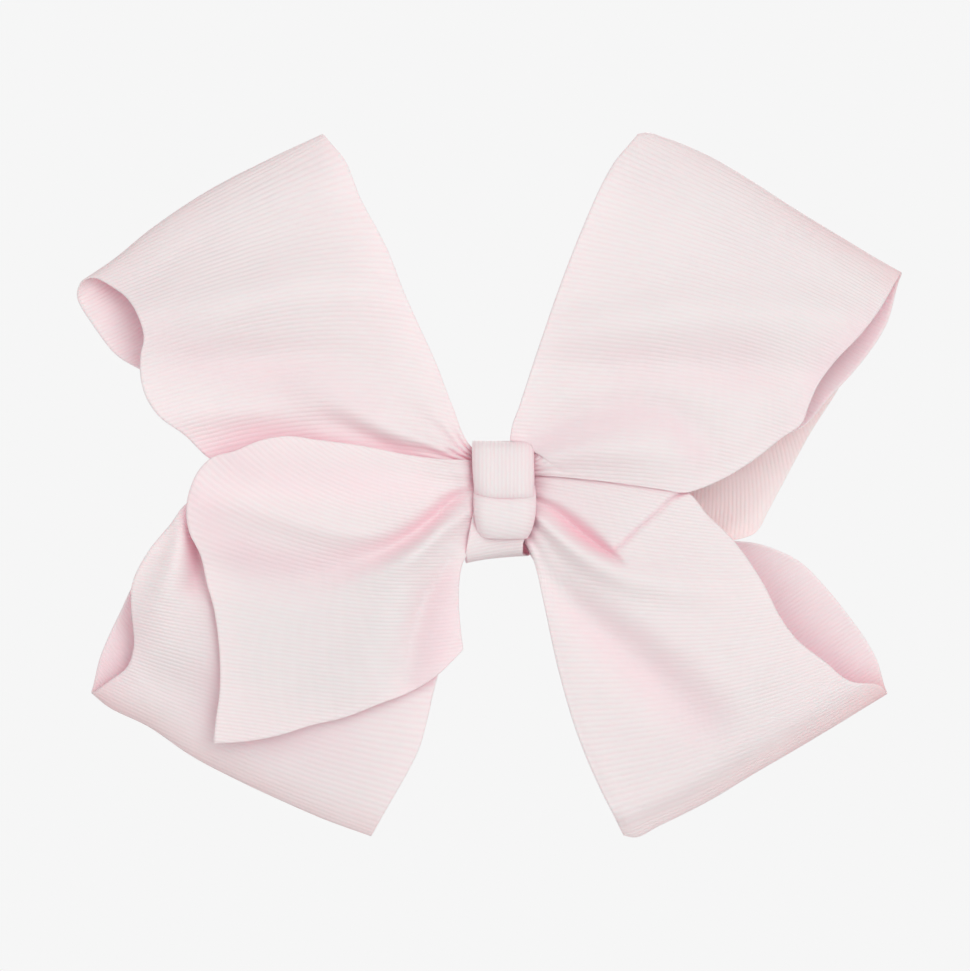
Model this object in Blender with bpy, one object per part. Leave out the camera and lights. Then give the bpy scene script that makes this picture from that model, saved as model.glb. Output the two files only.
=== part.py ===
"""Hair bow: four ribbon loops and two ribbon tails gathered at a waist, a narrow knotted
ribbon round the waist, and a sprung alligator clip glued to the back.

The bow hangs upright as it is worn: +X is the viewer's right, +Z is up and the bow faces -Y.
The origin lies in the clip's mouth, behind the middle of the knot. Outlines are written in
millimetres as (x, z, d), where d is the distance in front of the origin, so y = -d.
"""

import bmesh
import bpy
import math
import numpy as np

MM = 0.001

# Ribbon: a 75 mm wide grosgrain for the bow, a 15 mm wide one for the knot.
SHEET = 0.9
FOLD_RADIUS = 3.4
LOOP_ROWS = 10
ROLL_ROWS = 5
LOOP_COLUMNS = 7
TAIL_ROWS = 12
TAIL_COLUMNS = 8
LAYER_GAP = 0.3

# Waist: the gathered middle of the wide ribbon, inside the knot's band.
WAIST_HALF_LENGTH = 8.0
WAIST_TOP = 11.3
WAIST_BOTTOM = -13.7
WAIST_BACK = 6.0
WAIST_FRONT = 16.0
WAIST_SQUARENESS = 0.55
WAIST_SQUEEZE = 0.25
PLEATS = 9
PLEAT_DEPTH = 0.35
RIBBON_START = WAIST_HALF_LENGTH + 2 * LAYER_GAP

# Thread and band round the waist.
THREAD_RADIUS = 0.3
THREAD_TURNS = 4
THREAD_PITCH = 1.3
THREAD_STAND_OFF = 0.75
THREAD_STEPS = 20
BAND_THICKNESS = 0.7
BAND_STAND_OFF = 1.4
BAND_HALF_WIDTH = 7.5
BAND_STEPS = 28
KNOT_ROWS = 14
KNOT_COLUMNS = 7

# Clip: a flat plate glued to the bow and a toothed jaw sprung against it.
PLATE_BACK = 0.9
PLATE_FRONT = 1.7
PLATE_HALF_WIDTH = 4.7
GRIP_PAD = 0.7
GRIP_PAD_HALF_WIDTH = 2.5
CLIP_END = 29.0
HINGE_X = 11.0
HINGE_D = -2.6
PIN_RADIUS = 0.8
PIN_HOLE_RADIUS = 0.9
PIN_HEAD_RADIUS = 1.4
EAR_INNER = 4.1
JAW_INNER = 3.0
JAW_OUTER = 3.6
JAW_THICKNESS = 0.7
TOOTH_PITCH = 2.0
TOOTH_COUNT = 9
WIRE_RADIUS = 0.35
COIL_RADIUS = 1.9
COIL_TURNS = 3.5
COIL_HALF_LENGTH = 2.2
LINING = (2.0, 2.5)
GLUE = (2.8, 3.6)
GLUE_HALF_LENGTH = 11.0
GLUE_HALF_WIDTH = 3.6


def clear_scene():
    for obj in list(bpy.data.objects):
        bpy.data.objects.remove(obj)


def material(name, colour, roughness, metallic=0.0):
    made = bpy.data.materials.new(name)
    made.use_nodes = True
    shader = made.node_tree.nodes["Principled BSDF"]
    shader.inputs["Base Color"].default_value = (*colour, 1.0)
    shader.inputs["Roughness"].default_value = roughness
    shader.inputs["Metallic"].default_value = metallic
    return made


def add_object(name, points, faces, look, smooth=True):
    """A mesh object from (x, z, d) points in millimetres, its faces turned outwards."""
    mesh = bpy.data.meshes.new(name)
    world = [(x * MM, -d * MM, z * MM) for x, z, d in points]
    mesh.from_pydata(world, [], faces)
    shape = bmesh.new()
    shape.from_mesh(mesh)
    bmesh.ops.recalc_face_normals(shape, faces=shape.faces)
    shape.to_mesh(mesh)
    shape.free()
    if smooth:
        mesh.shade_smooth()
        mesh.set_sharp_from_angle(angle=math.radians(40))
    mesh.materials.append(look)
    obj = bpy.data.objects.new(name, mesh)
    bpy.context.scene.collection.objects.link(obj)
    return obj


def spline(points, count):
    """`count` points, evenly spaced, on the smooth curve through `points`."""
    points = np.array(points, float)
    steps = np.linalg.norm(np.diff(points, axis=0), axis=1)
    reached = np.concatenate([[0.0], np.cumsum(steps)])
    slopes = np.gradient(points, reached, axis=0)
    fine = np.linspace(0, reached[-1], 40 * len(points))
    k = np.clip(np.searchsorted(reached, fine, side="right") - 1, 0, len(steps) - 1)
    span = steps[k][:, None]
    t = ((fine - reached[k]) / steps[k])[:, None]
    curve = (1 + 2 * t) * (1 - t) ** 2 * points[k] + t * (1 - t) ** 2 * span * slopes[k]
    curve += t * t * (3 - 2 * t) * points[k + 1] + t * t * (t - 1) * span * slopes[k + 1]
    run = np.linalg.norm(np.diff(curve, axis=0), axis=1)
    run = np.concatenate([[0.0], np.cumsum(run)])
    wanted = np.linspace(0, run[-1], count)
    return np.stack([np.interp(wanted, run, column) for column in curve.T], axis=1)


def patch(inner, outer, near, far, belly):
    """A surface between four edges, raised by `belly` in the middle."""
    u = np.linspace(0, 1, len(inner))[:, None, None]
    v = np.linspace(0, 1, len(near))[None, :, None]
    grid = (1 - v) * inner[:, None] + v * outer[:, None] + (1 - u) * near + u * far
    grid -= (1 - u) * ((1 - v) * near[0] + v * near[-1])
    grid -= u * ((1 - v) * far[0] + v * far[-1])
    grid[:, :, 2] += belly * (np.sin(np.pi * u) * np.sin(np.pi * v))[:, :, 0]
    return grid


def sheet_solid(name, grid, thickness, look):
    """A grid of points made into one closed sheet of even thickness."""
    along = np.gradient(grid, axis=0)
    across = np.gradient(grid, axis=1)
    normal = np.cross(along, across)
    normal /= np.linalg.norm(normal, axis=2, keepdims=True)
    rows, columns = grid.shape[:2]
    points = np.concatenate(
        [
            (grid + normal * thickness / 2).reshape(-1, 3),
            (grid - normal * thickness / 2).reshape(-1, 3),
        ]
    )
    under = rows * columns

    def corner(i, j):
        return i * columns + j

    faces = []
    for i in range(rows - 1):
        for j in range(columns - 1):
            ring = (corner(i, j), corner(i + 1, j), corner(i + 1, j + 1), corner(i, j + 1))
            faces.append(ring)
            faces.append(tuple(under + k for k in reversed(ring)))
    rim = [corner(i, 0) for i in range(rows)]
    rim += [corner(rows - 1, j) for j in range(1, columns)]
    rim += [corner(i, columns - 1) for i in range(rows - 2, -1, -1)]
    rim += [corner(0, j) for j in range(columns - 2, 0, -1)]
    for a, b in zip(rim, rim[1:] + rim[:1]):
        faces.append((a, b, under + b, under + a))
    return add_object(name, points, faces, look)


def fold_lines(silhouette, depth, radius):
    """Rows of points round a fold, from its front line over its outer edge to its back line."""
    outline = spline([(x, z) for x, z in silhouette], LOOP_COLUMNS)
    tangent = np.gradient(outline, axis=0)
    outward = np.stack([-tangent[:, 1], tangent[:, 0]], axis=1)
    outward /= np.linalg.norm(outward, axis=1, keepdims=True)
    if (outward * outline).sum() < 0:
        outward = -outward
    rows = []
    for angle in np.linspace(0, math.pi, ROLL_ROWS):
        flat = outline + outward * radius * (math.sin(angle) - 1)
        depths = np.full(len(flat), depth + radius * math.cos(angle))
        rows.append(np.column_stack([flat, depths]))
    return rows


def ribbon_loop(name, front, back, fold, fold_depth, look, belly=3.0):
    """A loop of wide ribbon: a front layer out to the fold, and a back layer home again.

    `front` and `back` each hold the inner and the outer selvedge as (x, z, d) points that
    start at the waist and stop short of the fold.
    """
    rolls = fold_lines(fold, fold_depth, FOLD_RADIUS)
    layers = []
    for edges, far, rise in ((front, rolls[0], belly), (back, rolls[-1], -belly)):
        inner = spline([*edges["inner"], far[0]], LOOP_ROWS)
        outer = spline([*edges["outer"], far[-1]], LOOP_ROWS)
        near = np.linspace(inner[0], outer[0], LOOP_COLUMNS)
        layers.append(patch(inner, outer, near, far, rise))
    grid = np.concatenate([layers[0], np.array(rolls[1:-1]), layers[1][::-1]])
    return sheet_solid(name, grid, SHEET, look)


def ribbon_tail(name, inner, outer, end, look, belly):
    """A tail of wide ribbon from the waist to its slanting cut end."""
    end = spline(end, TAIL_COLUMNS)
    inner = spline([*inner, end[0]], TAIL_ROWS)
    outer = spline([*outer, end[-1]], TAIL_ROWS)
    near = np.linspace(inner[0], outer[0], TAIL_COLUMNS)
    return sheet_solid(name, patch(inner, outer, near, end, belly), SHEET, look)


def make_loops(look):
    start = RIBBON_START
    ribbon_loop(
        "ribbon_loop_upper_left",
        front={
            "inner": [(-start, 11.0, 13.4), (-13, 23, 15), (-25, 51, 18), (-37, 77, 14)],
            "outer": [(-start, 8.4, 13.0), (-30, 9, 13), (-56, 9, 13), (-74, 11, 14),
                      (-88, 22, 17), (-92, 33, 19), (-93, 47, 17)],
        },
        back={
            "inner": [(-start, 11.0, 11.0), (-14, 23, 9), (-26, 51, 5), (-38, 77, 3)],
            "outer": [(-start, 9.6, 11.0), (-40, 17, 8), (-70, 24, 5), (-92, 33, 4),
                      (-103, 43, 3)],
        },
        fold=[(-44.5, 93.5), (-59.7, 87), (-75, 79), (-90, 69), (-106, 55.5)],
        fold_depth=7.0,
        look=look,
    )
    ribbon_loop(
        "ribbon_loop_upper_right",
        front={
            "inner": [(start, 11.0, 14.6), (9.2, 14.8, 15.4), (6.5, 19, 16.8), (7.5, 30, 18),
                      (15, 56, 20), (26, 82, 15)],
            "outer": [(start, 7.0, 14.6), (29, 5, 17.5), (46, 2.5, 19), (62, 9.5, 19),
                      (75.5, 20, 19.5), (83, 34, 19), (94, 47, 15)],
        },
        back={
            "inner": [(start, 11.0, 12.2), (7, 22, 10), (14, 50, 5), (26, 80, 3)],
            "outer": [(start, 9.8, 12.2), (30, 15, 10.5), (52, 17, 9), (76, 19.5, 7.5),
                      (92, 37, 5), (98.5, 47, 3.5)],
        },
        fold=[(33, 94), (46, 90.5), (63.5, 81), (80, 70.5), (101.3, 57.5)],
        fold_depth=7.0,
        look=look,
    )
    ribbon_loop(
        "ribbon_loop_lower_left",
        front={
            "inner": [(-start, -12.2, 11.2), (-14, -28, 13), (-20, -55, 14), (-28, -75, 12)],
            "outer": [(-start, 1.0, 11.2), (-40, 2, 12.5), (-70, 1, 14.5), (-81, -1.5, 15.5),
                      (-91, -14, 16.5), (-94.5, -27, 15.5), (-94, -38, 12.5)],
        },
        back={
            "inner": [(-start, -12.2, 8.6), (-14, -28, 6), (-20, -55, 3), (-28, -75, 2)],
            "outer": [(-start, -2.0, 8.6), (-40, -5, 6.5), (-75, -9, 5), (-94, -21, 4),
                      (-101, -36, 3)],
        },
        fold=[(-33.5, -86), (-57, -76.6), (-79.6, -65.3), (-91, -58), (-105.5, -49)],
        fold_depth=6.0,
        look=look,
        belly=1.5,
    )
    ribbon_loop(
        "ribbon_loop_lower_right",
        front={
            "inner": [(start, -10.6, 11.0), (8.6, -18, 13), (14.3, -44, 17), (24, -72, 13)],
            "outer": [(start, 5.5, 11.0), (29, 3, 14.5), (46.4, 1.5, 16.6), (57.7, -10, 18),
                      (66.3, -22.4, 19), (73.7, -35, 18), (86, -44.5, 13)],
        },
        back={
            "inner": [(start, -10.6, 8.6), (9, -18, 7), (15, -44, 4), (25, -72, 2.5)],
            "outer": [(start, -2.0, 8.6), (35, -6, 7.5), (58, -10.6, 6), (75.3, -16, 5),
                      (92, -35, 3)],
        },
        fold=[(32, -86.5), (52.6, -76.8), (74.5, -63.6), (97.6, -49.5)],
        fold_depth=6.5,
        look=look,
    )


def make_tails(look):
    start = RIBBON_START
    ribbon_tail(
        "ribbon_tail_left",
        inner=[(-start, -12.6, 15.4), (-11.5, -20, 18), (-11.5, -27, 19)],
        outer=[(-start, 8.6, 15.4), (-23, 11, 19), (-46, 15, 22), (-60, 15, 23), (-74, 10, 22),
               (-80, -2, 20.5), (-76, -20, 19.5), (-72.5, -40, 19)],
        end=[(-10.7, -37.5, 19), (-20, -46.5, 19.5), (-45, -56.3, 20), (-73.5, -61.7, 19)],
        look=look,
        belly=3.0,
    )
    ribbon_tail(
        "ribbon_tail_right",
        inner=[(start, -6.0, 6.5), (30, -9, 4.9), (52, -10, 3.6)],
        outer=[(start, 5.0, 6.5), (35, 20, 5.0), (65, 35, 2.0)],
        end=[(64.5, -9.0, 2.5), (71, 3.5, 0.5), (79, 18, -0.5), (94, 42, -0.5)],
        look=look,
        belly=-1.0,
    )


def waist_outline(offset, count):
    """Points (z, d) round the waist's rounded section, `offset` outside it."""
    middle_z = (WAIST_TOP + WAIST_BOTTOM) / 2
    middle_d = (WAIST_FRONT + WAIST_BACK) / 2
    half_z = (WAIST_TOP - WAIST_BOTTOM) / 2 + offset
    half_d = (WAIST_FRONT - WAIST_BACK) / 2 + offset
    points = []
    for k in range(count):
        angle = 2 * math.pi * k / count
        c, s = math.cos(angle), math.sin(angle)
        up = math.copysign(abs(s) ** WAIST_SQUARENESS, s)
        forward = math.copysign(abs(c) ** WAIST_SQUARENESS, c)
        points.append((middle_z + half_z * up, middle_d + half_d * forward))
    return points


def make_waist(look):
    """The ribbon's gathered middle: a pleated bundle, narrowest at its centre."""
    around = 4 * PLEATS
    stations = [-1.0, -0.5, 0.0, 0.5, 1.0]
    middle_z = (WAIST_TOP + WAIST_BOTTOM) / 2
    middle_d = (WAIST_FRONT + WAIST_BACK) / 2
    points = []
    for station in stations:
        x = station * WAIST_HALF_LENGTH
        inset = PLEAT_DEPTH + WAIST_SQUEEZE * (1 - station * station)
        for k, (z, d) in enumerate(waist_outline(-inset, around)):
            reach = math.hypot(z - middle_z, d - middle_d)
            scale = 1 + PLEAT_DEPTH * math.cos(math.pi * k) / reach
            points.append((x, middle_z + (z - middle_z) * scale, middle_d + (d - middle_d) * scale))
    add_object("gathered_waist", points, tube_faces(len(stations), around), look)


def tube_faces(rings, around):
    """Faces of a tube of `rings` rings with flat ends."""
    faces = []
    for i in range(rings - 1):
        for k in range(around):
            after = (k + 1) % around
            faces.append(
                (i * around + k, i * around + after, (i + 1) * around + after, (i + 1) * around + k)
            )
    faces.append(tuple(range(around)))
    faces.append(tuple((rings - 1) * around + k for k in range(around)))
    return faces


def tube(name, path, radius, sides, look):
    """A round tube along (x, z, d) points, with flat ends."""
    path = np.array(path, float)
    tangents = np.gradient(path, axis=0)
    tangents /= np.linalg.norm(tangents, axis=1, keepdims=True)
    side = np.cross(tangents[0], (0.3, 0.5, 0.8))
    points = []
    for centre, tangent in zip(path, tangents):
        side = side - tangent * side.dot(tangent)
        side /= np.linalg.norm(side)
        other = np.cross(tangent, side)
        for k in range(sides):
            angle = 2 * math.pi * k / sides
            points.append(centre + radius * (math.cos(angle) * side + math.sin(angle) * other))
    return add_object(name, points, tube_faces(len(path), sides), look)


def make_thread(look):
    """Thread wound tightly round the waist, under the band."""
    loop = waist_outline(THREAD_STAND_OFF, THREAD_STEPS)
    path = []
    for k in range(THREAD_TURNS * THREAD_STEPS + 1):
        z, d = loop[k % THREAD_STEPS]
        path.append((THREAD_PITCH * (k / THREAD_STEPS - THREAD_TURNS / 2), z, d))
    tube("waist_thread", path, THREAD_RADIUS, 6, look)


def make_band(look):
    """The narrow ribbon that closes round the waist, behind the knot."""
    outline = waist_outline(BAND_STAND_OFF + BAND_THICKNESS / 2, BAND_STEPS)
    columns = np.linspace(-BAND_HALF_WIDTH, BAND_HALF_WIDTH, 5)
    grid = [[(x, z, d) for x in columns] for z, d in outline]
    sheet_solid("centre_band", np.array(grid), BAND_THICKNESS, look)


def knot_fold(name, profile, left, right, crown, look):
    """One fold of the knot: a profile of (z, d) points swept from left to right."""
    grid = []
    for z, d in spline(profile, KNOT_ROWS):
        row = []
        for across in np.linspace(0, 1, KNOT_COLUMNS):
            sunk = crown * (2 * across - 1) ** 4
            row.append((left + (right - left) * across, z, d - sunk))
        grid.append(row)
    return sheet_solid(name, np.array(grid), SHEET, look)


def make_knot(look):
    knot_fold(
        "knot_upper_fold",
        [(14.1, 12.5), (14.05, 17.0), (12.5, 20.3), (8, 22.4), (4, 22.6), (1.2, 21.9)],
        -7.9,
        7.4,
        0.5,
        look,
    )
    knot_fold(
        "knot_lower_fold",
        [(3.5, 19.3), (0.5, 20.4), (-3.0, 21.0), (-7.5, 20.6), (-9.7, 19.2)],
        -7.1,
        7.9,
        0.4,
        look,
    )


def prism(name, profile, low, high, look):
    """A closed outline of (x, d) points, extruded in z from low to high."""
    count = len(profile)
    points = [(x, z, d) for z in (low, high) for x, d in profile]
    faces = [tuple(range(count)), tuple(range(count, 2 * count))]
    for k in range(count):
        after = (k + 1) % count
        faces.append((k, after, count + after, count + k))
    return add_object(name, points, faces, look, smooth=False)


def slab(name, outline, low, high, look):
    """A closed outline of (x, z) points, extruded in d from low to high."""
    count = len(outline)
    points = [(x, z, d) for d in (low, high) for x, z in outline]
    faces = [tuple(range(count)), tuple(range(count, 2 * count))]
    for k in range(count):
        after = (k + 1) % count
        faces.append((k, after, count + after, count + k))
    return add_object(name, points, faces, look, smooth=False)


def lathe(name, profile, look, sides=20):
    """Rings of (radius, z) about the hinge axis."""
    points = []
    for radius, z in profile:
        for k in range(sides):
            angle = 2 * math.pi * k / sides
            x = HINGE_X + radius * math.cos(angle)
            points.append((x, z, HINGE_D + radius * math.sin(angle)))
    return add_object(name, points, tube_faces(len(profile), sides), look)


def boolean(obj, other, operation):
    other.hide_render = True
    other.display_type = "WIRE"
    modifier = obj.modifiers.new(other.name, "BOOLEAN")
    modifier.operation = operation
    modifier.solver = "EXACT"
    modifier.object = other


def set_origin(obj, x, z, d):
    """Move the object's origin to a point, leaving its mesh where it is."""
    point = (x * MM, -d * MM, z * MM)
    for vertex in obj.data.vertices:
        vertex.co = [vertex.co[k] - point[k] for k in range(3)]
    obj.location = point


def make_plate(steel):
    """The clip's fixed plate, with a pressed pad where it grips and two ears that carry the pin."""
    half = PLATE_HALF_WIDTH
    outline = [(-CLIP_END, -1.6), (-28.2, -2.6), (-22, -3.4), (-6, -half), (CLIP_END - 1.5, -half)]
    outline += [(CLIP_END, -half + 1.5)]
    outline += [(x, -z) for x, z in reversed(outline)]
    plate = slab("clip_plate", outline, PLATE_BACK, PLATE_FRONT, steel)
    middle = (PLATE_BACK + PLATE_FRONT) / 2
    pad = [(-26, -1.9), (-21, -GRIP_PAD_HALF_WIDTH), (-10, -GRIP_PAD_HALF_WIDTH)]
    pad += [(x, -z) for x, z in reversed(pad)]
    boolean(plate, slab("grip_pad", pad, GRIP_PAD, middle, steel), "UNION")
    ear = [(6.2, middle), (15.8, middle), (14.6, -2.9), (13.2, -4.6), (11, -5.1)]
    ear += [(8.8, -4.6), (7.4, -2.9)]
    for side in (-1, 1):
        low, high = sorted((side * EAR_INNER, side * half))
        boolean(plate, prism(f"ear_{side}", ear, low, high, steel), "UNION")
    hole = lathe("pin_hole_cutter", [(PIN_HOLE_RADIUS, -8), (PIN_HOLE_RADIUS, 8)], steel)
    boolean(plate, hole, "DIFFERENCE")


def thick_line(line, thickness):
    """The closed outline of a bent strip seen edge on."""
    line = np.array(line, float)
    along = np.gradient(line, axis=0)
    along /= np.linalg.norm(along, axis=1, keepdims=True)
    sideways = np.stack([-along[:, 1], along[:, 0]], axis=1) * thickness / 2
    return [*map(tuple, line + sideways), *map(tuple, (line - sideways)[::-1])]


def make_jaw(steel):
    """The sprung jaw: a channel with toothed edges, and a handle that stands off the plate."""
    web = [(-28, -1.9), (-24, -2.3), (-16, -2.7), (-8, -3.3), (-1, -4.2), (4, -5.4), (8, -6.4)]
    web += [(12, -6.7), (16, -7.6), (22, -10.2), (CLIP_END, -13.2)]
    jaw = prism("clip_jaw", thick_line(web, JAW_THICKNESS), -JAW_OUTER, JAW_OUTER, steel)
    flange = []
    first = -27.6
    for k in range(TOOTH_COUNT):
        flange.append((first + k * TOOTH_PITCH, -1.25))
        flange.append((first + (k + 0.5) * TOOTH_PITCH, -0.45))
    flange += [(-9.6, -1.25), (0, -1.5), (7, -1.3), (9.4, -0.95), (11, -0.8), (12.6, -0.95)]
    flange += [(13.9, -2.0), (15.6, -4.6), (19, -7.6)]
    flange += [(22, -10.2), (16, -7.6), (12, -6.7), (8, -6.4), (4, -5.4), (-1, -4.2), (-8, -3.3)]
    flange += [(-16, -2.7), (-24, -2.3), (-27.8, -1.95)]
    for side in (-1, 1):
        low, high = sorted((side * JAW_INNER, side * JAW_OUTER))
        boolean(jaw, prism(f"flange_{side}", flange, low, high, steel), "UNION")
    hole = lathe("jaw_hole_cutter", [(PIN_HOLE_RADIUS, -8), (PIN_HOLE_RADIUS, 8)], steel)
    boolean(jaw, hole, "DIFFERENCE")
    set_origin(jaw, HINGE_X, 0, HINGE_D)


def make_pin(steel):
    """The rivet that the jaw turns on."""
    head_inner, head_outer = PLATE_HALF_WIDTH + LAYER_GAP, PLATE_HALF_WIDTH + LAYER_GAP + 0.5
    profile = [(PIN_HEAD_RADIUS * 0.7, -head_outer), (PIN_HEAD_RADIUS, -head_outer + 0.2)]
    profile += [(PIN_HEAD_RADIUS, -head_inner), (PIN_RADIUS, -head_inner)]
    profile += [(radius, -z) for radius, z in reversed(profile)]
    lathe("clip_hinge_pin", profile, steel)


def make_spring(steel):
    """A torsion spring on the pin. Its free leg is a node of its own, because it turns with
    the jaw while the coil stays on the pin."""
    per_turn = 14
    path = [(22, COIL_HALF_LENGTH, -0.25), (16, COIL_HALF_LENGTH, -0.5)]
    steps = int(COIL_TURNS * per_turn)
    for k in range(steps + 1):
        angle = math.pi / 2 + 2 * math.pi * COIL_TURNS * k / steps
        x = HINGE_X + COIL_RADIUS * math.cos(angle)
        z = COIL_HALF_LENGTH * (1 - 2 * k / steps)
        path.append((x, z, HINGE_D + COIL_RADIUS * math.sin(angle)))
    tube("clip_spring_coil", path, WIRE_RADIUS, 6, steel)
    bottom = HINGE_D - COIL_RADIUS
    leg = [(HINGE_X + 0.4, -COIL_HALF_LENGTH, bottom), (13, -COIL_HALF_LENGTH, bottom - 0.35)]
    leg += [(16, -COIL_HALF_LENGTH, -6.3), (20.5, -COIL_HALF_LENGTH, -8.35)]
    free = tube("clip_spring_leg", spline(leg, 6), WIRE_RADIUS, 6, steel)
    set_origin(free, HINGE_X, 0, HINGE_D)


def make_lining(look, glue):
    half = PLATE_HALF_WIDTH - 0.1
    outline = [(-28.5, -2.4), (-22, -3.3), (-6, -half), (CLIP_END + 0.4, -half)]
    outline += [(x, -z) for x, z in reversed(outline)]
    slab("clip_lining_ribbon", outline, *LINING, look)
    turns = np.linspace(0, 2 * math.pi, 16, endpoint=False)
    pad = [(GLUE_HALF_LENGTH * math.cos(a), GLUE_HALF_WIDTH * math.sin(a)) for a in turns]
    slab("glue_pad", pad, *GLUE, glue)


def main():
    clear_scene()
    pink = material("pink_grosgrain", (0.92, 0.78, 0.80), 0.75)
    thread = material("pink_thread", (0.88, 0.66, 0.70), 0.8)
    steel = material("nickel_steel", (0.72, 0.72, 0.73), 0.3, 1.0)
    glue = material("clear_glue", (0.86, 0.84, 0.78), 0.35)
    make_loops(pink)
    make_tails(pink)
    make_waist(pink)
    make_thread(thread)
    make_band(pink)
    make_knot(pink)
    make_plate(steel)
    make_jaw(steel)
    make_pin(steel)
    make_spring(steel)
    make_lining(pink, glue)


main()
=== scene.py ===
"""The finished look of a large grosgrain hair bow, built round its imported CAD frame.

The wide ribbon is made as sheets: a smooth patch between two selvedges, raised and sunk
along soft lines where the cloth puffs or creases, then given its thickness. Outlines are in
millimetres as (x, z, d): +X is the viewer's right, +Z is up, and d is the distance in front
of the frame's origin, so y = -d.
"""

import math
from functools import partial

import bmesh
import bpy
import numpy as np
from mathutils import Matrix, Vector

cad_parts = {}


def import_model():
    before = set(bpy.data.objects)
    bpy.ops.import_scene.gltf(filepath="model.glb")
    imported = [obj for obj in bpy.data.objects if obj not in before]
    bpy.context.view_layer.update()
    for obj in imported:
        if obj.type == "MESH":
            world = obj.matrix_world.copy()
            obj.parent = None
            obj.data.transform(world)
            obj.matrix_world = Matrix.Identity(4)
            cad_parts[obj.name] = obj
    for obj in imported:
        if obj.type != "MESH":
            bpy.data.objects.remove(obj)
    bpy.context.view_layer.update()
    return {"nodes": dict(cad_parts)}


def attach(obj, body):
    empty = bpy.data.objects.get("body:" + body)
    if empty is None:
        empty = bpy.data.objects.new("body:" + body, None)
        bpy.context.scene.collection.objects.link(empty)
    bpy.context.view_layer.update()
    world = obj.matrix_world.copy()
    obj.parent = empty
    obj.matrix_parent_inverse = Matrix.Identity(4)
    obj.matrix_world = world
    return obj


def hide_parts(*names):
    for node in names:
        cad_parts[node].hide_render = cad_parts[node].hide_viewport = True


MM = 0.001

# The wide ribbon, as cut: its thickness and rib pitch, in millimetres.
RIBBON_THICKNESS = 0.5
RIB_PITCH = 0.98

# How finely each layer of ribbon is meshed, and curves and strokes are followed.
FRONT_ROWS = 170
ROLL_ROWS = 22
BACK_ROWS = 90
LEFT_TAIL_ROWS = 220
RIGHT_TAIL_ROWS = 160
COLUMNS = 120
CURVE_STEPS = 60
STROKE_STEPS = 140

# The fold at a loop's end is a flattened arc, which meets its two layers at a slant.
ROLL_REACH = 1.7
EASE_REACH = 9
EASE_PASSES = 14
ROLL_START = math.radians(24)
CORNER_COLUMNS = 20
# How far from the middle of a fold its painted shade reaches.
FOLD_SHADE_REACH = 6.5

# Strokes and gathers fade out over these parts of a layer, at the waist and at the fold.
WAIST_FADE = 0.03
FOLD_FADE = 0.06

# How far a selvedge bulges, as a part of half the ribbon's thickness.
LIP_BULGE = 0.8

# Where the loops and tails end, under the knot.
START = 4.6

# The waist's section is a rounded box: its middle and half sizes as (z, d).
WAIST_MIDDLE = (-1.2, 11)
WAIST_HALF = (12.5, 5)
WAIST_ROUNDNESS = 0.55

# How far outside that section the band, the thread and the pleats' crests lie.
BAND_OFFSET = 1.75
THREAD_OFFSET = -0.5
PLEAT_OFFSET = -1.6

# Painted shade over the ribbon's own colour: a deeper pink along each loop's fold, and a pink
# shade painted along pleats, valleys and shadowed parts.
FOLD_SHADE_COLOUR = (0.84, 0.63, 0.63)
PINK_SHADE_COLOUR = (0.975, 0.77, 0.80)

TINY = 1e-9

# The camera looks along +Y at a point (x, z, d) near the origin. Its distance and the width of
# its view there are in metres, as are the stage's sizes.
LOOK_AT = (-4.85, 3.70, 12.0)
CAMERA_DISTANCE = 2.0
VIEW_WIDTH = 0.2474
SENSOR = 36.0

FLOOR_Z = -0.2
FLOOR_HALF = 1.2

# Soft boxes, aimed at the bow: name, place, side, power and colour.
LIGHTS = (
    ("key", (0.2, -1.7, 1.0), 1.4, 9, (1, 1, 1)),
    ("front", (0.8, -1.9, 0.2), 1.0, 8, (1, 0.97, 0.97)),
    ("low", (-0.9, -1.6, -0.7), 1.4, 8.4, (1, 0.95, 0.95)),
    ("back", (0.3, 1.8, 0.9), 1.6, 22, (1, 1, 1)),
)
BACKDROP = (0.922, 0.922, 0.922, 1)
FILL = (1, 0.92, 0.93, 1)
FILL_STRENGTH = 0.55


# ---------------------------------------------------------------- curves and surfaces


def spline(points, count):
    """`count` points, evenly spaced, on the smooth curve through `points`."""
    points = np.array(points, float)
    steps = np.linalg.norm(np.diff(points[:, :2], axis=0), axis=1)
    reached = np.concatenate([[0.0], np.cumsum(steps)])
    slopes = np.gradient(points, reached, axis=0)
    fine = np.linspace(0, reached[-1], CURVE_STEPS * len(points))
    k = np.clip(np.searchsorted(reached, fine, side="right") - 1, 0, len(steps) - 1)
    span = steps[k][:, None]
    t = ((fine - reached[k]) / steps[k])[:, None]
    curve = (1 + 2 * t) * (1 - t) ** 2 * points[k] + t * (1 - t) ** 2 * span * slopes[k]
    curve += t * t * (3 - 2 * t) * points[k + 1] + t * t * (t - 1) * span * slopes[k + 1]
    run = np.linalg.norm(np.diff(curve[:, :3], axis=0), axis=1)
    run = np.concatenate([[0.0], np.cumsum(run)])
    wanted = np.linspace(0, run[-1], count)
    return np.stack([np.interp(wanted, run, column) for column in curve.T], axis=1)


def patch(inner, outer, near, far, belly):
    """A surface between four edges, raised by `belly` in the middle."""
    u = np.linspace(0, 1, len(inner))[:, None, None]
    v = np.linspace(0, 1, len(near))[None, :, None]
    grid = (1 - v) * inner[:, None] + v * outer[:, None] + (1 - u) * near + u * far
    grid -= (1 - u) * ((1 - v) * near[0] + v * near[-1])
    grid -= u * ((1 - v) * far[0] + v * far[-1])
    grid[:, :, 2] += belly * (np.sin(np.pi * u) * np.sin(np.pi * v))[:, :, 0]
    return grid


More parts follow.
